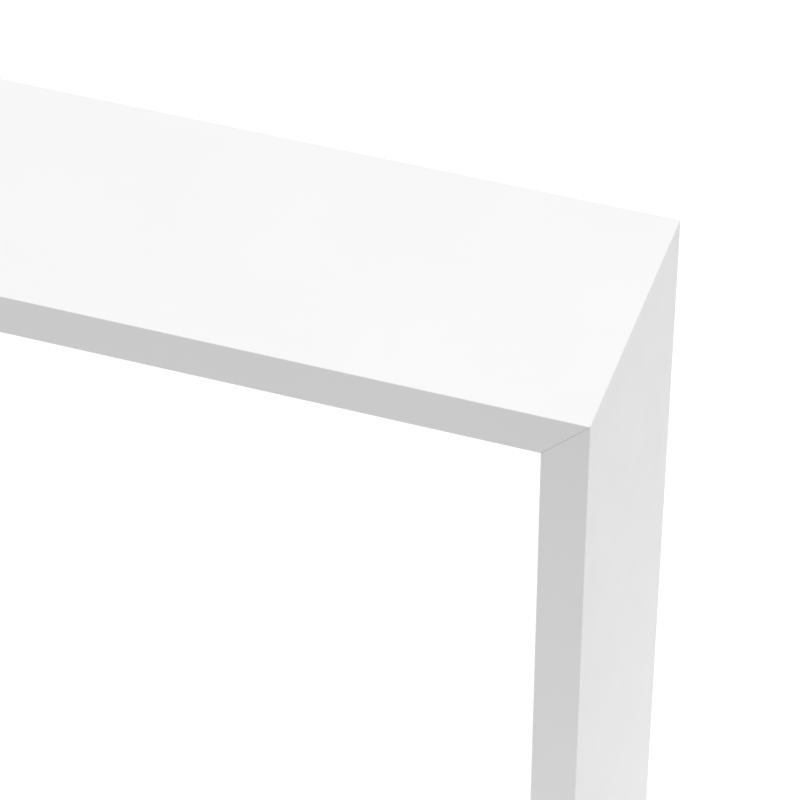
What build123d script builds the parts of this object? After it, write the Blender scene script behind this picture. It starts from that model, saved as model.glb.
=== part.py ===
from build123d import *
import math
import os

# A slab-sided console table: a top panel and two full-depth leg panels, mitred at
# the corners. Each panel is a hollow-core board: two face skins over timber rails
# and a paper honeycomb, with edging strips front and back. Hidden cam connectors
# and dowels hold each mitre, and each leg stands on two screw-in levelling feet.
# Origin: floor level, midway between the legs and between front and back.
# X runs along the table, +Y to the back, +Z up. Millimetres.

# Overall sizes
length = 1200
depth = 300
height = 850
slab = 45
foot_height = 12

# Panel make-up
skin = 5
edging = 6
rail_width = 40
mitre_block_run = 60
bottom_rail_height = 60
arris_radius = 0.8
mitre_ease = 0.25
hairline_width = 0.2
hairline_depth = 1.2

# Paper honeycomb core
cell_across_flats = 44
cell_wall = 0.5

# Corner connectors: a cam in the top panel draws in a hinged bolt from the leg
connector_spacing = 80
cam_inset = 12
cam_to_pivot = 32
cam_radius = 7.5
cam_height = 18
cam_recess = 1
bolt_head_radius = 3.5
bolt_neck_radius = 2.25
bolt_body_radius = 3.5
bolt_neck_run = 9
bolt_channel_radius = 4
tongue_thickness = 3
tongue_radius = 4.5
tongue_height = 6
fork_radius = 5
fork_run = 7
fork_clearance = 0.5
stud_radius = 3
stud_run = 28
pivot_pin_radius = 1.5
pivot_pin_length = 8
pivot_pocket_radius = 5.5
cap_radius = 8.5
cap_thickness = 1
cross_long = 7
cross_wide = 1.8
cross_deep = 3
peg_tip_gap = 1

# Mitre dowels
dowel_radius = 4
dowel_length = 32
dowel_spacing = 80
dowel_lead = 1

# Levelling feet, M8 with 12 mm of adjustment
foot_inset_side = 50
insert_radius = 6
insert_length = 20
insert_flange_radius = 8
insert_flange = 1.5
insert_groove_depth = 0.6
insert_groove_width = 2
insert_groove_count = 5
insert_groove_pitch = 3
thread_radius = 4
thread_run = 26
thread_lead = 1
stud_well = 30
stud_well_radius = 4.5
collar_across_flats = 13
collar_height = 4
pad_radius = 14
pad_thickness = 1.5
base_radius = 15
base_rim = 2.5
base_top_radius = 9
base_rounding = 0.6
journal_radius = 3
journal_run = 4
rivet_radius = 4.5
rivet_height = 1.4

# Fits: turning parts, and room for parts that must not touch
fit_gap = 0.05
room_gap = 0.2

# Worked out from the sizes above
end_x = length / 2
inner_x = end_x - slab
front_y = -depth / 2
under_z = height - slab
mid_z = height - slab / 2
core_thickness = slab - 2 * skin
board_half = depth / 2 - edging
block_x = inner_x - mitre_block_run
block_z = under_z - mitre_block_run
leg_foot_z = foot_height
bottom_rail_z = leg_foot_z + edging
leg_core_z = bottom_rail_z + bottom_rail_height
into_leg = Vector(1, 0, -1).normalized()
along_mitre = Vector(1, 0, 1).normalized()
cam_z = under_z + cam_inset
pivot_x = inner_x + cam_inset
cam_x = pivot_x - cam_to_pivot
foot_x = end_x - slab / 2
foot_y = depth / 2 - foot_inset_side
side_names = {1: "right", -1: "left"}


def board(outline, y_low, y_high):
    """A board with the given (x, z) outline, from y_low to y_high."""
    corners = [(x, y_low, z) for x, z in outline]
    face = Face(Wire.make_polygon(corners, close=True))
    return extrude(face, amount=y_high - y_low, dir=(0, 1, 0))


def block(x_low, x_high, y_low, y_high, z_low, z_high):
    """A square-edged block between the given planes."""
    outline = [(x_low, z_low), (x_high, z_low), (x_high, z_high), (x_low, z_high)]
    return board(outline, y_low, y_high)


def bar(start, direction, radius, run):
    """A round bar from start, along direction."""
    return extrude(Plane(origin=start, z_dir=direction) * Circle(radius), amount=run)


def turned(outline, x, y):
    """A turned piece on a vertical axis at (x, y), from its (radius, z) outline."""
    face = Face(Wire.make_polygon([(r, 0, z) for r, z in outline], close=True))
    return Pos(x, y, 0) * revolve(face, axis=Axis.Z)


def sided(part, side):
    """The part as modelled for the right end, or turned half round to the left end."""
    return part if side > 0 else Rot(0, 0, 180) * part


def group(parts):
    """Several like solids, kept apart in one node."""
    solids = [solid for part in parts for solid in part.solids()]
    return Compound(children=solids)


def mitre_grooves():
    """The eased arrises of the right-hand mitre: a fine groove down the front and the
    back, open a hairline wide at its bottom, and a small flat on the outside corner."""
    side_length = mitre_ease * math.sqrt(2)
    seam_length = slab * math.sqrt(2) + 4 * mitre_ease
    tools = []
    for y in (front_y, -front_y):
        centre = (end_x - slab / 2, y, mid_z)
        eased = Plane(origin=centre, x_dir=along_mitre, z_dir=into_leg + Vector(0, 1, 0))
        tools.append(eased * Box(seam_length, side_length, side_length))
        square = Plane(origin=centre, x_dir=along_mitre, z_dir=(0, 1, 0))
        tools.append(square * Box(seam_length, hairline_width, 2 * hairline_depth))
    corner = Plane(origin=(end_x, 0, height), x_dir=(0, 1, 0), z_dir=(1, 0, 1))
    tools.append(corner * Box(depth + 2, 4 * side_length, 2 * side_length))
    return tools


def ease_mitres(part, sides):
    """Cuts the eased arrises at the given ends."""
    for side in sides:
        for tool in mitre_grooves():
            part = part - sided(tool, side)
    return part


def top_outline(z_low, z_high):
    """The (x, z) outline of a layer of the top, mitred at both ends."""
    low, high = inner_x + z_low - under_z, inner_x + z_high - under_z
    return [(-low, z_low), (low, z_low), (high, z_high), (-high, z_high)]


def leg_outline(x_low, x_high, z_foot):
    """The (x, z) outline of a layer of the right leg, mitred at its head."""
    low, high = under_z + x_low - inner_x, under_z + x_high - inner_x
    return [(x_low, z_foot), (x_high, z_foot), (x_high, high), (x_low, low)]


def edging_strip(outline, facing, run_axis):
    """A strip over the front (-1) or back (+1) edge, with its outside arrises rounded."""
    outer, inner = facing * depth / 2, facing * board_half
    strip = board(outline, min(outer, inner), max(outer, inner))
    row = strip.edges().filter_by(run_axis).group_by(Axis.Y)[0 if facing < 0 else -1]
    return fillet(row, arris_radius)


def honeycomb(long, wide):
    """A paper honeycomb filling long by wide, its cells upright and centred on the
    origin. Cells that cross the border are cut off square there."""
    pitch_y = cell_across_flats * math.sqrt(3) / 2
    open_width = cell_across_flats - cell_wall
    cell = RegularPolygon(radius=open_width / 2, side_count=6, major_radius=False, rotation=30)
    border = Rectangle(long - cell_wall, wide - cell_wall)
    columns = math.ceil(long / cell_across_flats / 2)
    rows = math.ceil(wide / pitch_y / 2)
    openings = []
    for row in range(-rows, rows + 1):
        y = row * pitch_y
        for column in range(-columns, columns + 1):
            x = (column + (row % 2) / 2) * cell_across_flats
            placed = Pos(x, y) * cell
            whole = abs(x) < long / 2 - cell_across_flats and abs(y) < wide / 2 - cell_across_flats
            openings += (placed if whole else placed & border).faces()
    walls = Face(border_wire(long, wide), [face.outer_wire() for face in openings])
    return Pos(0, 0, -core_thickness / 2) * extrude(walls, amount=core_thickness)


def border_wire(long, wide):
    """A rectangle's outline about the origin."""
    return Rectangle(long, wide).face().outer_wire()


def top_panel():
    """The top's skins, rails, mitre blocks, core and edging strips."""
    upper = board(top_outline(height - skin, height), -board_half, board_half)
    lower = board(top_outline(under_z, under_z + skin), -board_half, board_half)
    parts = {
        "top_upper_skin": ease_mitres(upper, (1, -1)),
        "top_lower_skin": lower - cam_hole_tools((1, -1)),
        "top_honeycomb_core": Pos(0, 0, mid_z) * honeycomb(
            2 * block_x, 2 * (board_half - rail_width)
        ),
    }
    rail_inner = board_half - rail_width
    low_z, high_z = under_z + skin, height - skin
    for facing, place in ((-1, "front"), (1, "back")):
        y_low, y_high = sorted((facing * rail_inner, facing * board_half))
        parts[f"top_{place}_rail"] = block(-block_x, block_x, y_low, y_high, low_z, high_z)
        strip = edging_strip(top_outline(under_z, height), facing, Axis.X)
        parts[f"top_{place}_edging"] = ease_mitres(strip, (1, -1))
    for side, name in side_names.items():
        high_x = high_z - under_z + inner_x
        outline = [(block_x, low_z), (inner_x + skin, low_z), (high_x, high_z), (block_x, high_z)]
        mitre_block = board(outline, -board_half, board_half) - top_block_tools()
        parts[f"top_{name}_mitre_block"] = sided(mitre_block, side)
    return parts


def right_leg():
    """The right leg's skins, rails, mitre block, core and edging strips."""
    low_x, high_x = inner_x + skin, end_x - skin
    rail_inner = board_half - rail_width
    outer = board(leg_outline(high_x, end_x, bottom_rail_z), -board_half, board_half)
    head = board(leg_outline(low_x, high_x, block_z), -board_half, board_half)
    foot_rail = block(low_x, high_x, -board_half, board_half, bottom_rail_z, leg_core_z)
    foot_strip = block(inner_x, end_x, -board_half, board_half, leg_foot_z, bottom_rail_z)
    core = honeycomb(block_z - leg_core_z, 2 * rail_inner)
    core_place = Pos(end_x - slab / 2, 0, (block_z + leg_core_z) / 2) * Rot(0, 90, 0)
    parts = {
        "outer_skin": ease_mitres(outer, (1,)),
        "inner_skin": board(leg_outline(inner_x, low_x, bottom_rail_z), -board_half, board_half),
        "mitre_block": head - leg_block_tools(),
        "bottom_rail": foot_rail - foot_hole_tools(),
        "bottom_edging": foot_strip - foot_hole_tools(),
        "honeycomb_core": core_place * core,
    }
    for facing, place in ((-1, "front"), (1, "back")):
        y_low, y_high = sorted((facing * rail_inner, facing * board_half))
        parts[f"{place}_rail"] = block(low_x, high_x, y_low, y_high, leg_core_z, block_z)
        strip = edging_strip(leg_outline(inner_x, end_x, leg_foot_z), facing, Axis.Z)
        parts[f"{place}_edging"] = ease_mitres(strip, (1,))
    return parts


def leg_panels():
    """Both legs. The left one is the right one turned half round, front to back."""
    swapped = {"front_rail": "back_rail", "back_rail": "front_rail"}
    swapped.update({"front_edging": "back_edging", "back_edging": "front_edging"})
    parts = {}
    for key, part in right_leg().items():
        parts[f"right_leg_{key}"] = part
        parts[f"left_leg_{swapped.get(key, key)}"] = sided(part, -1)
    return parts


def connector_rows():
    """The y of each cam connector along a mitre."""
    return [-connector_spacing, 0, connector_spacing]


def dowel_rows():
    """The y of each dowel along a mitre, between and outside the connectors."""
    return [(i - 1.5) * dowel_spacing for i in range(4)]


def dowel_centre(y):
    """The middle of a dowel, on the mitre plane."""
    return Vector(end_x - slab / 2, y, mid_z)


def cam_hole_tools(sides):
    """The blind holes for the cams, drilled from the underside of the top."""
    depth_drilled = cam_recess + cam_height
    return [
        bar((side * cam_x, y, under_z), (0, 0, 1), cam_radius, depth_drilled)
        for side in sides
        for y in connector_rows()
    ]


def dowel_hole_tools():
    """The dowel holes across the right-hand mitre."""
    run = dowel_length + 2 * dowel_lead
    radius = dowel_radius + fit_gap
    return [
        bar(dowel_centre(y) - into_leg * run / 2, into_leg, radius, run)
        for y in dowel_rows()
    ]


def pivot_pocket_tools():
    """The round pockets that the bolts' pivots sit in, half in each panel."""
    return [Pos(pivot_x, y, cam_z) * Sphere(pivot_pocket_radius) for y in connector_rows()]


def top_block_tools():
    """Everything drilled in the right-hand mitre block of the top."""
    channels = [
        bar((cam_x, y, cam_z), (1, 0, 0), bolt_channel_radius, cam_to_pivot)
        for y in connector_rows()
    ]
    return cam_hole_tools((1,)) + channels + pivot_pocket_tools() + dowel_hole_tools()


def leg_block_tools():
    """Everything drilled in the mitre block of the right leg."""
    tools = pivot_pocket_tools() + dowel_hole_tools()
    for y in connector_rows():
        pivot = Vector(pivot_x, y, cam_z)
        tools.append(bar(pivot, into_leg, pivot_pocket_radius, fork_run + fit_gap))
        tools.append(bar(pivot, into_leg, stud_radius + fit_gap, stud_run + dowel_lead))
    return tools


def cam_lock(y):
    """A cam drum: the bolt's head sits in its middle, the bolt's neck in the slot
    around its far half, and a cross recess below takes the driver."""
    bottom = under_z + cam_recess
    centre = Pos(cam_x, y, cam_z)
    drum = bar((cam_x, y, bottom), (0, 0, 1), cam_radius - fit_gap, cam_height)
    head_room = bolt_head_radius + room_gap
    neck_room = bolt_neck_radius + room_gap
    neck_slot = centre * Box(
        2 * cam_radius, cam_radius, 2 * neck_room, align=(Align.CENTER, Align.MIN, Align.CENTER)
    )
    neck_end = centre * Box(
        cam_radius, 2 * neck_room, 2 * neck_room, align=(Align.MIN, Align.CENTER, Align.CENTER)
    )
    mouth = bar((cam_x, y, cam_z), (-1, 0, 0), head_room, cam_radius)
    recess_lift = Pos(cam_x, y, bottom + cross_deep / 2)
    recess = [
        recess_lift * Rot(0, 0, turn) * Box(cross_long, cross_wide, cross_deep)
        for turn in (0, 90)
    ]
    return drum - [centre * Sphere(head_room), mouth, neck_slot, neck_end, *recess]


def connecting_bolt(y):
    """The bolt that the cam draws in: ball head, neck, body and a drilled tongue."""
    head_centre = (cam_x, y, cam_z)
    body_start = cam_x + bolt_neck_run
    body_end = pivot_x - fork_radius - fork_clearance
    tongue_run = pivot_x - body_end
    head = Pos(*head_centre) * Sphere(bolt_head_radius)
    neck = bar(head_centre, (1, 0, 0), bolt_neck_radius, bolt_neck_run)
    body = bar((body_start, y, cam_z), (1, 0, 0), bolt_body_radius, body_end - body_start)
    tongue = Pos(body_end, y, cam_z) * Box(
        tongue_run,
        tongue_thickness,
        tongue_height,
        align=(Align.MIN, Align.CENTER, Align.CENTER),
    )
    eye = bar((pivot_x, y - tongue_thickness / 2, cam_z), (0, 1, 0), tongue_radius, tongue_thickness)
    hole_radius = pivot_pin_radius + fit_gap
    hole = bar((pivot_x, y - tongue_thickness, cam_z), (0, 1, 0), hole_radius, 2 * tongue_thickness)
    return head + neck + body + tongue + eye - hole


def mitre_stud(y):
    """The stud screwed into the leg, with a ball-ended fork for the bolt's tongue."""
    pivot = Vector(pivot_x, y, cam_z)
    ball = Pos(pivot_x, y, cam_z) * Sphere(fork_radius)
    fork = bar(pivot, into_leg, fork_radius, fork_run)
    shank = bar(pivot + into_leg * fork_run, into_leg, stud_radius, stud_run - fork_run)
    slot_depth = tongue_radius + room_gap
    slot_frame = Plane(origin=pivot + into_leg * slot_depth, x_dir=(0, 1, 0), z_dir=into_leg)
    slot = slot_frame * Box(
        tongue_thickness + 2 * fit_gap,
        3 * fork_radius,
        3 * fork_radius,
        align=(Align.CENTER, Align.CENTER, Align.MAX),
    )
    hole = bar((pivot_x, y - fork_radius, cam_z), (0, 1, 0), pivot_pin_radius, 2 * fork_radius)
    return ball + fork + shank - slot - hole


def pivot_pin(y):
    """The pin that hinges a connecting bolt on its stud."""
    start = (pivot_x, y - pivot_pin_length / 2, cam_z)
    return bar(start, (0, 1, 0), pivot_pin_radius, pivot_pin_length)


def cam_cap(y):
    """The cover cap pressed over a cam: a thin dished flange on a cross-shaped peg."""
    flange = bar((cam_x, y, under_z), (0, 0, -1), cap_radius, cap_thickness)
    flange = fillet(flange.edges().group_by(Axis.Z)[0], cap_thickness / 2)
    peg_height = cam_recess + cross_deep - peg_tip_gap
    pegs = [
        Pos(cam_x, y, under_z + peg_height / 2)
        * Rot(0, 0, turn)
        * Box(cross_long - room_gap, cross_wide - room_gap, peg_height)
        for turn in (0, 90)
    ]
    return flange + pegs


def mitre_dowel(y):
    """A beech dowel square across the mitre, its ends chamfered."""
    dowel = bar(dowel_centre(y) - into_leg * dowel_length / 2, into_leg, dowel_radius, dowel_length)
    return chamfer(dowel.edges().filter_by(GeomType.CIRCLE), dowel_lead)


def corner_fittings(side):
    """The hardware that holds one mitre shut."""
    rows = connector_rows()
    fittings = {
        "cam_locks": [cam_lock(y) for y in rows],
        "mitre_bolts": [connecting_bolt(y) for y in rows],
        "mitre_studs": [mitre_stud(y) for y in rows],
        "mitre_pivot_pins": [pivot_pin(y) for y in rows],
        "cam_caps": [cam_cap(y) for y in rows],
        "mitre_dowels": [mitre_dowel(y) for y in dowel_rows()],
    }
    name = side_names[side]
    return {
        f"{name}_{key}": group([sided(part, side) for part in parts])
        for key, parts in fittings.items()
    }


def foot_hole_tools():
    """The stepped holes for the right leg's two threaded inserts."""
    tools = []
    for y in (-foot_y, foot_y):
        mouth = (foot_x, y, leg_foot_z)
        tools.append(bar(mouth, (0, 0, 1), insert_flange_radius + fit_gap, insert_flange))
        tools.append(bar(mouth, (0, 0, 1), insert_radius, insert_length))
        tools.append(bar(mouth, (0, 0, 1), stud_well_radius, stud_well))
    return tools


def insert_nut(x, y):
    """A flanged M8 insert, its barrel ridged to grip the timber."""
    barrel = insert_radius - fit_gap
    grooved = barrel - insert_groove_depth
    top = leg_foot_z + insert_length
    groove_start = leg_foot_z + insert_flange + insert_groove_width
    flange_z = leg_foot_z + insert_flange
    outline = [(thread_radius, leg_foot_z), (insert_flange_radius, leg_foot_z)]
    outline += [(insert_flange_radius, flange_z), (barrel, flange_z)]
    for i in range(insert_groove_count):
        low = groove_start + insert_groove_pitch * i
        high = low + insert_groove_width
        outline += [(barrel, low), (grooved, low + insert_groove_depth)]
        outline += [(grooved, high), (barrel, high + insert_groove_depth)]
    outline += [(barrel, top), (thread_radius, top)]
    return turned(outline, x, y)


def foot_stud(x, y):
    """The foot's M8 stud: thread, hexagon collar, and the journal riveted in the base.
    The thread is drawn as a plain cylinder just under its bore."""
    collar_z = leg_foot_z - collar_height
    rivet_z = collar_z - journal_run - rivet_height
    shaft_radius = thread_radius - fit_gap
    shaft = bar((x, y, leg_foot_z), (0, 0, 1), shaft_radius, thread_run)
    shaft = chamfer(shaft.edges().group_by(Axis.Z)[-1], thread_lead)
    hexagon = RegularPolygon(radius=collar_across_flats / 2, side_count=6, major_radius=False)
    collar = extrude(Pos(x, y, collar_z) * hexagon, amount=collar_height)
    journal = bar((x, y, collar_z - journal_run), (0, 0, 1), journal_radius, journal_run)
    rivet = bar((x, y, rivet_z), (0, 0, 1), rivet_radius, rivet_height)
    return shaft + collar + journal + rivet


def foot_base(x, y):
    """The moulded glide: a low dome that the stud's journal turns in."""
    top = leg_foot_z - collar_height - fit_gap
    bore = journal_radius + fit_gap
    rivet_bore = rivet_radius + fit_gap
    rivet_top = leg_foot_z - collar_height - journal_run + fit_gap
    rivet_floor = rivet_top - rivet_height - 2 * fit_gap
    rim_z = pad_thickness + base_rim
    outline = [(0, pad_thickness), (base_radius, pad_thickness), (base_radius, rim_z)]
    outline += [(base_top_radius, top), (bore, top), (bore, rivet_top)]
    outline += [(rivet_bore, rivet_top), (rivet_bore, rivet_floor), (0, rivet_floor)]
    base = turned(outline, x, y)
    rims = base.edges().filter_by(GeomType.CIRCLE)
    rounded = [edge for edge in rims if edge.radius >= base_top_radius]
    return fillet(rounded, base_rounding)


def foot_pad(x, y):
    """The soft disc under the glide."""
    return bar((x, y, 0), (0, 0, 1), pad_radius, pad_thickness)


def feet():
    """The insert nuts, and each foot's stud, base and pad."""
    parts = {}
    inserts = []
    for side, end in side_names.items():
        for facing, place in ((-1, "front"), (1, "back")):
            x, y = side * foot_x, facing * foot_y
            name = f"{place}_{end}_foot"
            inserts.append(insert_nut(x, y))
            parts[f"{name}_stud"] = foot_stud(x, y)
            parts[f"{name}_base"] = foot_base(x, y)
            parts[f"{name}_pad"] = foot_pad(x, y)
    parts["foot_insert_nuts"] = group(inserts)
    return parts


def console_table():
    """Every node of the table by name."""
    parts = top_panel() | leg_panels() | feet()
    for side in side_names:
        parts.update(corner_fittings(side))
    return parts


os.makedirs("parts", exist_ok=True)
for node, shape in console_table().items():
    export_step(shape, f"parts/{node}.step")
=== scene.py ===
import math

import bmesh
import bpy
from mathutils import Matrix, Vector


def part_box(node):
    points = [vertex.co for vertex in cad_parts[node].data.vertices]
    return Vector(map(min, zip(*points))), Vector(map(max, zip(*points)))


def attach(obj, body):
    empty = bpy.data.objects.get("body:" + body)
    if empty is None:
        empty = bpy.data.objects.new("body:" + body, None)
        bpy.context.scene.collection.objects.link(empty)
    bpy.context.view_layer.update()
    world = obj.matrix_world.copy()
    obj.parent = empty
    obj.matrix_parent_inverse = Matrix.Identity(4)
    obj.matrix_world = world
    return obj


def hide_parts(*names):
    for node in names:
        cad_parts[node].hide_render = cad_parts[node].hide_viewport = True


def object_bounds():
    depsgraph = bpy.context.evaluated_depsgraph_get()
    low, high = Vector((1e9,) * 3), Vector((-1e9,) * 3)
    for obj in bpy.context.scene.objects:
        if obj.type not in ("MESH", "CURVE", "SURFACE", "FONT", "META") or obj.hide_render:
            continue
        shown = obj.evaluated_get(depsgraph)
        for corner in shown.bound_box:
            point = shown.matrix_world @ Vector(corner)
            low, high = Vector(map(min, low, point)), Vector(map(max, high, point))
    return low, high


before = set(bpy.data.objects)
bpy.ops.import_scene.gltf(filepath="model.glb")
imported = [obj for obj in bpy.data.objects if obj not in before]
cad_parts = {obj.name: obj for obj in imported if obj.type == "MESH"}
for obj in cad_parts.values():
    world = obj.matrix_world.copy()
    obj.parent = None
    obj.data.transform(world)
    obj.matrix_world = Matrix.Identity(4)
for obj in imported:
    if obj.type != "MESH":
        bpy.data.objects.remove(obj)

CAD_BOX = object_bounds()

# The view: where the camera stands, as seen from the table's front right top corner, in
# degrees and metres, and how far it is then moved right and up in its own plane. The
# lens is in millimetres, for a sensor that wide.
VIEW_AZIMUTH = 18.486
VIEW_ELEVATION = 42.577
VIEW_ROLL = -0.188
VIEW_DISTANCE = 3.5222
VIEW_LENS = 179.24
VIEW_SENSOR = 36
AIM_RIGHT = -0.16836
AIM_UP = 0.02426

# The white surround: how strongly the floor, the sky and the backdrop glow, and the
# share of the light on the floor that it sends back
FLOOR_RADIUS = 2.0
FLOOR_SEGMENTS = 96
FLOOR_GLOW = 0.775
FLOOR_WHITE = 0.32
SKY_FILL = 0.405
BACKDROP_GLOW = 1.05

# The square soft lamps: where each stands, what it faces, its side in metres and its
# power in watts
LAMPS = {
    "overhead": ((-0.2, 0.3, 5.0), (-0.2, 0, 0), 5.0, 165),
    "right_side": ((2.4, -0.3, 1.7), (0.6, 0, 0.6), 1.4, 8.8),
}

# Each material's base colours, from one end of its unevenness to the other
LACQUER = ((0.862, 0.862, 0.862), (0.876, 0.876, 0.876))
PINE = ((0.71, 0.52, 0.31), (0.50, 0.31, 0.15))
BEECH = ((0.64, 0.45, 0.28), (0.50, 0.32, 0.18))
KRAFT = ((0.30, 0.20, 0.11), (0.47, 0.34, 0.21))
ZINC = ((0.47, 0.48, 0.50), (0.60, 0.61, 0.62))
STEEL = ((0.58, 0.60, 0.63), (0.69, 0.69, 0.68))
CAP_PLASTIC = ((0.80, 0.80, 0.79), (0.84, 0.84, 0.83))
GLIDE_PLASTIC = ((0.020, 0.020, 0.022), (0.032, 0.032, 0.034))
RUBBER = ((0.055, 0.055, 0.058), (0.115, 0.113, 0.110))

# The ring texture's scale in each timber: rings about 2 mm and about 0.5 mm wide
PINE_RINGS = 160
BEECH_RINGS = 600

# The feet's M8 studs, in metres, from the rivet in the glide up to the thread's tip. A
# widening below 1 makes the thread's grooves wider than its crests.
STUD_SEGMENTS = 48
RIVET_RADIUS = 0.0045
RIVET_HEIGHT = 0.0014
JOURNAL_RADIUS = 0.003
JOURNAL_RUN = 0.004
COLLAR_HALF_FLATS = 0.0065
COLLAR_HEIGHT = 0.004
COLLAR_FACE_RADIUS = 0.0063
COLLAR_SLOPE = math.tan(math.radians(30))
COLLAR_STEPS = 6
THREAD_PITCH = 0.00125
THREAD_DEPTH = 0.0006
THREAD_CREST = 0.00395
THREAD_LEAD = 0.001
THREAD_WIDENING = 0.8
RINGS_TO_A_PITCH = 8

# The corners' fluted beech dowels, in metres
DOWEL_SEGMENTS = 96
DOWEL_COUNT = 4
DOWEL_RADIUS = 0.004
DOWEL_LENGTH = 0.032
DOWEL_LEAD = 0.001
FLUTES = 16
FLUTE_DEPTH = 0.0003

# An edge that turns more than this is drawn sharp
SHARP_TURN = math.radians(35)


# ---------------------------------------------------------------- node helpers


def add_node(tree, kind, inputs=None, **settings):
    """A shader node of that kind, with its settings and its inputs set or linked."""
    made = tree.nodes.new(f"ShaderNode{kind}")
    for name, value in settings.items():
        setattr(made, name, value)
    for name, value in (inputs or {}).items():
        if isinstance(value, bpy.types.NodeSocket):
            tree.links.new(value, made.inputs[name])
        else:
            made.inputs[name].default_value = value
    return made


class Surface:
    """A procedural material: a Principled shader fed by textures laid out in metres."""

    def __init__(self, name, **constants):
        self.material = bpy.data.materials.new(name)
        self.material.use_nodes = True
        self.tree = self.material.node_tree
        self.shader = self.tree.nodes["Principled BSDF"]
        self.place = self.node("TexCoord").outputs["Object"]
        for socket, value in constants.items():
            self.shader.inputs[socket.replace("_", " ")].default_value = value

    def node(self, kind, inputs=None, **settings):
        """A node of that kind in this material."""
        return add_node(self.tree, kind, inputs, **settings)

    def stretched(self, scale):
        """The place, with each axis scaled, so that a texture runs along a grain."""
        return self.node("Mapping", {"Vector": self.place, "Scale": scale}).outputs[0]

    def noise(self, scale, detail=2.0, rough=0.5, distortion=0.0, place=None):
        """Noise from 0 to 1, with about that many features to the metre."""
        inputs = {
            "Vector": place or self.place,
            "Scale": scale,
            "Detail": detail,
            "Roughness": rough,
            "Distortion": distortion,
        }
        return self.node("TexNoise", inputs).outputs["Fac"]

    def spread(self, value, low, high, start=0.3, end=0.7):
        """Runs from low to high as the value runs from start to end."""
        inputs = {
            "Value": value,
            "From Min": start,
            "From Max": end,
            "To Min": low,
            "To Max": high,
        }
        return self.node("MapRange", inputs).outputs[0]

    def ramp(self, value, colours, start=0.3, end=0.7):
        """Runs from the first colour to the second as the value runs from start to end."""
        made = self.node("ValToRGB", {"Fac": value})
        stops = zip(made.color_ramp.elements, (start, end), colours)
        for element, position, colour in stops:
            element.position = position
            element.color = (*colour, 1)
        return made.outputs["Color"]

    def feed(self, socket, value):
        """Links a value into the shader."""
        self.tree.links.new(value, self.shader.inputs[socket])

    def bump(self, height, depth, below=None):
        """Raises the surface by up to depth metres, over another bump if given."""
        inputs = {"Height": height, "Distance": depth, "Strength": 1.0}
        if below:
            inputs["Normal"] = below
        return self.node("Bump", inputs).outputs["Normal"]


# ---------------------------------------------------------------- materials


def white_lacquer():
    """Sprayed satin lacquer over board: faint orange peel, and a hardly seen unevenness."""
    paint = Surface("white_lacquer", IOR=1.5, Coat_Weight=0.2, Coat_Roughness=0.16)
    paint.feed("Base Color", paint.ramp(paint.noise(5, detail=3), LACQUER))
    paint.feed("Roughness", paint.spread(paint.noise(22, detail=3), 0.34, 0.42))
    flow = paint.bump(paint.noise(60, detail=1), 0.00002)
    paint.feed("Normal", paint.bump(paint.noise(650, detail=1.5), 0.000006, flow))
    return paint.material


def sawn_timber(name, grain_axis, colours, rings, lean=0):
    """Planed softwood or hardwood. Its grain runs along one axis of the table, or leans
    away from it by that many degrees about Y."""
    wood = Surface(name)
    leaning = {"Vector": wood.place, "Rotation": (0, math.radians(lean), 0)}
    wood.place = wood.node("Mapping", leaning).outputs[0]
    along = [1.0 if axis == grain_axis else 14.0 for axis in "XYZ"]
    drift = wood.noise(3, detail=4, distortion=0.6, place=wood.stretched(along))
    ring_scale = [0.02 if axis == grain_axis else 1.0 for axis in "XYZ"]
    inputs = {
        "Vector": wood.stretched(ring_scale),
        "Scale": rings,
        "Distortion": 3.0,
        "Detail": 2.0,
    }
    waves = wood.node("TexWave", inputs, wave_type="RINGS", rings_direction=grain_axis)
    both = {0: waves.outputs["Fac"], 1: drift}
    figure = wood.node("Math", both, operation="MULTIPLY").outputs[0]
    wood.feed("Base Color", wood.ramp(figure, colours, start=0.05, end=0.75))
    fibre_scale = [8.0 if axis == grain_axis else 300.0 for axis in "XYZ"]
    fibres = wood.noise(4, detail=3, place=wood.stretched(fibre_scale))
    wood.feed("Roughness", wood.spread(fibres, 0.55, 0.75))
    wood.feed("Normal", wood.bump(fibres, 0.00008))
    return wood.material


def kraft_paper():
    """Brown recycled paper, flecked with fibres."""
    paper = Surface("kraft_paper")
    fleck = paper.noise(900, detail=4, rough=0.7, place=paper.stretched((1, 1, 0.25)))
    paper.feed("Base Color", paper.ramp(fleck, KRAFT, start=0.35, end=0.65))
    paper.feed("Roughness", paper.spread(fleck, 0.75, 0.9))
    paper.feed("Normal", paper.bump(fleck, 0.00004))
    return paper.material


def cast_zinc():
    """Die-cast zinc, dull and slightly pitted."""
    zinc = Surface("cast_zinc", Metallic=1.0)
    pits = zinc.noise(1500, detail=3, rough=0.6)
    zinc.feed("Base Color", zinc.ramp(zinc.noise(120, detail=3), ZINC))
    zinc.feed("Roughness", zinc.spread(pits, 0.38, 0.55))
    zinc.feed("Normal", zinc.bump(pits, 0.00003))
    return zinc.material


def plated_steel():
    """Bright zinc plating over turned steel: fine turning marks and a cool bloom."""
    steel = Surface("zinc_plated_steel", Metallic=1.0)
    steel.feed("Base Color", steel.ramp(steel.noise(160, detail=3), STEEL))
    marks = steel.noise(40, detail=2, place=steel.stretched((4, 4, 90)))
    steel.feed("Roughness", steel.spread(marks, 0.24, 0.40))
    steel.feed("Normal", steel.bump(marks, 0.00001))
    return steel.material


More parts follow.
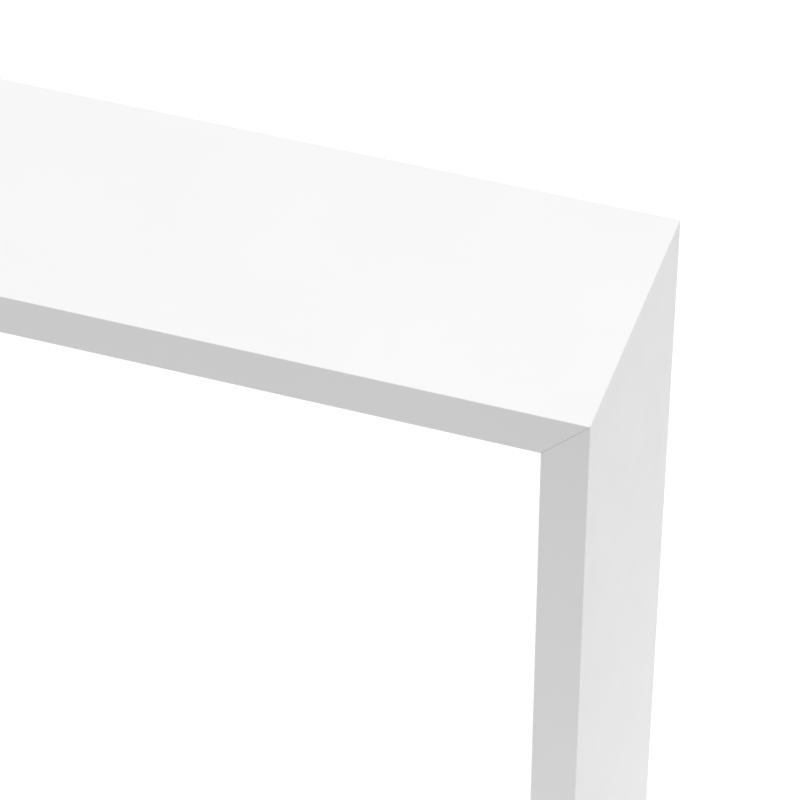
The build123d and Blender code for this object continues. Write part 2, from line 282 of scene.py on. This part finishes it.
def moulded_plastic(name, colours, low_rough, high_rough, grain):
    """Injection-moulded plastic with a fine spark-eroded grain."""
    plastic = Surface(name, IOR=1.46)
    texture = plastic.noise(grain, detail=2, rough=0.6)
    plastic.feed("Base Color", plastic.ramp(plastic.noise(90, detail=2), colours))
    plastic.feed("Roughness", plastic.spread(texture, low_rough, high_rough))
    plastic.feed("Normal", plastic.bump(texture, 0.00003))
    return plastic.material


def pad_rubber():
    """Soft rubber with a fine pimple pattern."""
    rubber = Surface("glide_rubber", IOR=1.5)
    inputs = {"Vector": rubber.place, "Scale": 900.0}
    pimples = rubber.node("TexVoronoi", inputs).outputs["Distance"]
    dust = rubber.noise(220, detail=4)
    rubber.feed("Base Color", rubber.ramp(dust, RUBBER, start=0.35, end=0.75))
    rubber.feed("Roughness", rubber.spread(dust, 0.68, 0.86))
    rubber.feed("Normal", rubber.bump(pimples, 0.0001))
    return rubber.material


def material_for():
    """A finished material for each CAD node, by node name."""
    lacquer = white_lacquer()
    steel = plated_steel()
    pine = {axis: sawn_timber(f"pine_{axis.lower()}", axis, PINE, PINE_RINGS) for axis in "XYZ"}
    endings = {
        "skin": lacquer,
        "edging": lacquer,
        "mitre_block": pine["Y"],
        "bottom_rail": pine["Y"],
        "honeycomb_core": kraft_paper(),
        "cam_locks": cast_zinc(),
        "mitre_bolts": steel,
        "mitre_studs": steel,
        "mitre_pivot_pins": steel,
        "right_mitre_dowels": sawn_timber("beech_right", "X", BEECH, BEECH_RINGS, lean=-45),
        "left_mitre_dowels": sawn_timber("beech_left", "X", BEECH, BEECH_RINGS, lean=45),
        "insert_nuts": steel,
        "foot_stud": steel,
        "cam_caps": moulded_plastic("cap_plastic", CAP_PLASTIC, 0.35, 0.48, grain=1800),
        "foot_base": moulded_plastic("glide_plastic", GLIDE_PLASTIC, 0.42, 0.60, grain=2400),
        "foot_pad": pad_rubber(),
    }
    found = {}
    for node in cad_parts:
        if node.endswith("rail") and not node.endswith("bottom_rail"):
            found[node] = pine["X" if node.startswith("top") else "Z"]
            continue
        found[node] = next(made for ending, made in endings.items() if node.endswith(ending))
    return found


def finish_nodes():
    """Gives every CAD node its material, and details the studs and the dowels."""
    for node, made in material_for().items():
        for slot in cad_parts[node].material_slots:
            slot.material = made
        if node.endswith("foot_stud"):
            threaded_stud(node, made)
        elif node.endswith("mitre_dowels"):
            fluted_dowels(node, made)


# ---------------------------------------------------------------- foot studs and dowels


def swell(phase):
    """0 at the start of each turn, and 1 halfway through it."""
    return 0.5 - 0.5 * math.cos(phase)


def hexagon_radius(angle):
    """The distance from the axis to a hexagon's side. The hexagon has corners on X."""
    sixth = math.tau / 6
    return COLLAR_HALF_FLATS / math.cos(angle % sixth - sixth / 2)


def collar_rings(low):
    """The collar's rings: a hexagon whose corners are turned off at both faces."""
    turned_off = (hexagon_radius(0) - COLLAR_FACE_RADIUS) * COLLAR_SLOPE
    rises = [turned_off * i / COLLAR_STEPS for i in range(COLLAR_STEPS + 1)]
    places = [(low + rise, rise) for rise in rises]
    places += [(low + COLLAR_HEIGHT - rise, rise) for rise in reversed(rises)]
    sides = [hexagon_radius(math.tau * i / STUD_SEGMENTS) for i in range(STUD_SEGMENTS)]
    rings = []
    for z, rise in places:
        cone = COLLAR_FACE_RADIUS + rise / COLLAR_SLOPE
        rings.append((z, [min(side, cone) for side in sides]))
    return rings


def thread_radius(angle, rise, left):
    """A right-handed thread's radius at that angle, rise up it and run left to its tip."""
    phase = math.tau * rise / THREAD_PITCH - angle
    groove = THREAD_DEPTH * swell(phase) ** THREAD_WIDENING
    fading = min(1.0, rise / THREAD_PITCH)
    cone = THREAD_CREST - max(0.0, THREAD_LEAD - left)
    return min(THREAD_CREST - groove * fading, cone)


def thread_rings(low, high):
    """The thread's rings, from the collar to the tip."""
    count = math.ceil((high - low) / THREAD_PITCH * RINGS_TO_A_PITCH)
    rings = []
    for i in range(count + 1):
        z = low + (high - low) * i / count
        angles = [math.tau * j / STUD_SEGMENTS for j in range(STUD_SEGMENTS)]
        rings.append((z, [thread_radius(angle, z - low, high - z) for angle in angles]))
    return rings


def add_shell(build, stand, rings):
    """Adds a closed shell through rings of (height, radii), on the axis that stand places."""
    rows = []
    for height, radii in rings:
        row = []
        for i, radius in enumerate(radii):
            angle = math.tau * i / len(radii)
            point = Vector((radius * math.cos(angle), radius * math.sin(angle), height))
            row.append(build.verts.new(stand @ point))
        rows.append(row)
    for below, above in zip(rows, rows[1:]):
        for i in range(len(below)):
            j = (i + 1) % len(below)
            build.faces.new((below[i], below[j], above[j], above[i]))
    build.faces.new(list(reversed(rows[0])))
    build.faces.new(rows[-1])


def detailed_piece(build, name, material):
    """A new object from the built shells, with its sharp edges marked."""
    for face in build.faces:
        face.smooth = True
    for edge in build.edges:
        edge.smooth = edge.calc_face_angle() < SHARP_TURN
    mesh = bpy.data.meshes.new(name)
    build.to_mesh(mesh)
    build.free()
    mesh.materials.append(material)
    made = bpy.data.objects.new(name, mesh)
    bpy.context.scene.collection.objects.link(made)
    return made


def threaded_stud(node, steel):
    """A levelling foot's stud with its thread cut, in place of the plain CAD one."""
    low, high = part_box(node)
    middle = (low + high) / 2
    journal_z = low.z + RIVET_HEIGHT
    collar_z = journal_z + JOURNAL_RUN
    rings = [(z, [RIVET_RADIUS] * STUD_SEGMENTS) for z in (low.z, journal_z)]
    rings += [(z, [JOURNAL_RADIUS] * STUD_SEGMENTS) for z in (journal_z, collar_z)]
    rings += collar_rings(collar_z) + thread_rings(collar_z + COLLAR_HEIGHT, high.z)
    build = bmesh.new()
    add_shell(build, Matrix.Translation((middle.x, middle.y, 0)), rings)
    made = detailed_piece(build, node.replace("_stud", "_threaded_stud"), steel)
    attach(made, node.replace("_foot_stud", "_stud"))
    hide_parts(node)


def dowel_rings():
    """A dowel's rings about its middle: fluted all along, with both ends turned down."""
    end = DOWEL_LENGTH / 2
    angles = [math.tau * i / DOWEL_SEGMENTS for i in range(DOWEL_SEGMENTS)]
    fluted = [DOWEL_RADIUS - FLUTE_DEPTH * swell(FLUTES * angle) for angle in angles]
    rings = []
    for height in (-end, DOWEL_LEAD - end, end - DOWEL_LEAD, end):
        cone = DOWEL_RADIUS - DOWEL_LEAD + end - abs(height)
        rings.append((height, [min(radius, cone) for radius in fluted]))
    return rings


def fluted_dowels(node, beech):
    """A corner's dowels with their glue flutes, in place of the plain CAD ones."""
    low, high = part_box(node)
    middle = (low + high) / 2
    outwards = 1 if middle.x > 0 else -1
    lean = Vector((outwards, 0, -1)).to_track_quat("Z", "Y").to_matrix().to_4x4()
    first, last = low.y + DOWEL_RADIUS, high.y - DOWEL_RADIUS
    build = bmesh.new()
    for i in range(DOWEL_COUNT):
        y = first + (last - first) * i / (DOWEL_COUNT - 1)
        add_shell(build, Matrix.Translation((middle.x, y, middle.z)) @ lean, dowel_rings())
    made = detailed_piece(build, node.replace("_mitre_dowels", "_fluted_mitre_dowels"), beech)
    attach(made, "table")
    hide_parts(node)


# ---------------------------------------------------------------- stage, light, camera


def floor():
    """A plain white floor that glows, so that it stays white under the table, with a
    faint shadow where the feet meet it. From below it is clear, so that the underside
    of the table can be looked at."""
    mesh = bpy.data.meshes.new("floor")
    build = bmesh.new()
    circle = {"segments": FLOOR_SEGMENTS, "radius": FLOOR_RADIUS}
    bmesh.ops.create_circle(build, cap_ends=True, **circle)
    build.to_mesh(mesh)
    build.free()
    made = bpy.data.objects.new("floor", mesh)
    bpy.context.scene.collection.objects.link(made)
    material = bpy.data.materials.new("pale_floor")
    material.use_nodes = True
    tree = material.node_tree
    tree.nodes.clear()
    glow = add_node(tree, "Emission", {"Strength": FLOOR_GLOW}).outputs[0]
    white = (FLOOR_WHITE, FLOOR_WHITE, FLOOR_WHITE, 1)
    matt = add_node(tree, "BsdfDiffuse", {"Color": white}).outputs[0]
    pale = add_node(tree, "AddShader", {0: glow, 1: matt}).outputs[0]
    clear = add_node(tree, "BsdfTransparent").outputs[0]
    from_below = add_node(tree, "NewGeometry").outputs["Backfacing"]
    either = add_node(tree, "MixShader", {0: from_below, 1: pale, 2: clear}).outputs[0]
    add_node(tree, "OutputMaterial", {"Surface": either})
    made.data.materials.append(material)


def surround():
    """White all round: bright to the camera, and a low even fill to the table."""
    world = bpy.data.worlds.new("surround")
    bpy.context.scene.world = world
    world.use_nodes = True
    tree = world.node_tree
    tree.nodes.clear()
    white = (1, 1, 1, 1)
    fill, seen = (
        add_node(tree, "Background", {"Color": white, "Strength": strength}).outputs[0]
        for strength in (SKY_FILL, BACKDROP_GLOW)
    )
    to_camera = add_node(tree, "LightPath").outputs["Is Camera Ray"]
    either = add_node(tree, "MixShader", {0: to_camera, 1: fill, 2: seen}).outputs[0]
    add_node(tree, "OutputWorld", {"Surface": either})


def softbox(name, place, aim, side, power):
    """A large square soft lamp at place, facing aim. It isn't seen by the camera."""
    light = bpy.data.lights.new(name, "AREA")
    light.size = side
    light.energy = power
    made = bpy.data.objects.new(name, light)
    made.location = place
    made.rotation_euler = (Vector(aim) - Vector(place)).to_track_quat("-Z", "Y").to_euler()
    made.visible_camera = False
    bpy.context.scene.collection.objects.link(made)


def camera():
    """A long lens on the front right corner, from above and a little to the right."""
    azimuth, elevation, roll = (
        math.radians(angle) for angle in (VIEW_AZIMUTH, VIEW_ELEVATION, VIEW_ROLL)
    )
    flat = math.cos(elevation)
    back = Vector((math.sin(azimuth) * flat, -math.cos(azimuth) * flat, math.sin(elevation)))
    level = Vector((0, 0, 1)).cross(back).normalized()
    upright = back.cross(level)
    right = level * math.cos(roll) + upright * math.sin(roll)
    up = upright * math.cos(roll) - level * math.sin(roll)
    low, high = CAD_BOX
    corner = Vector((high.x, low.y, high.z))
    data = bpy.data.cameras.new("camera")
    data.lens = VIEW_LENS
    data.sensor_width = VIEW_SENSOR
    made = bpy.data.objects.new("camera", data)
    facing = Matrix((right, up, back)).transposed().to_4x4()
    stand = corner + right * AIM_RIGHT + up * AIM_UP + back * VIEW_DISTANCE
    made.matrix_world = Matrix.Translation(stand) @ facing
    bpy.context.scene.collection.objects.link(made)
    bpy.context.scene.camera = made


finish_nodes()
floor()
surround()
for name, (place, aim, side, power) in LAMPS.items():
    softbox(name, place, aim, side, power)
camera()
bpy.context.scene.view_settings.view_transform = "Standard"
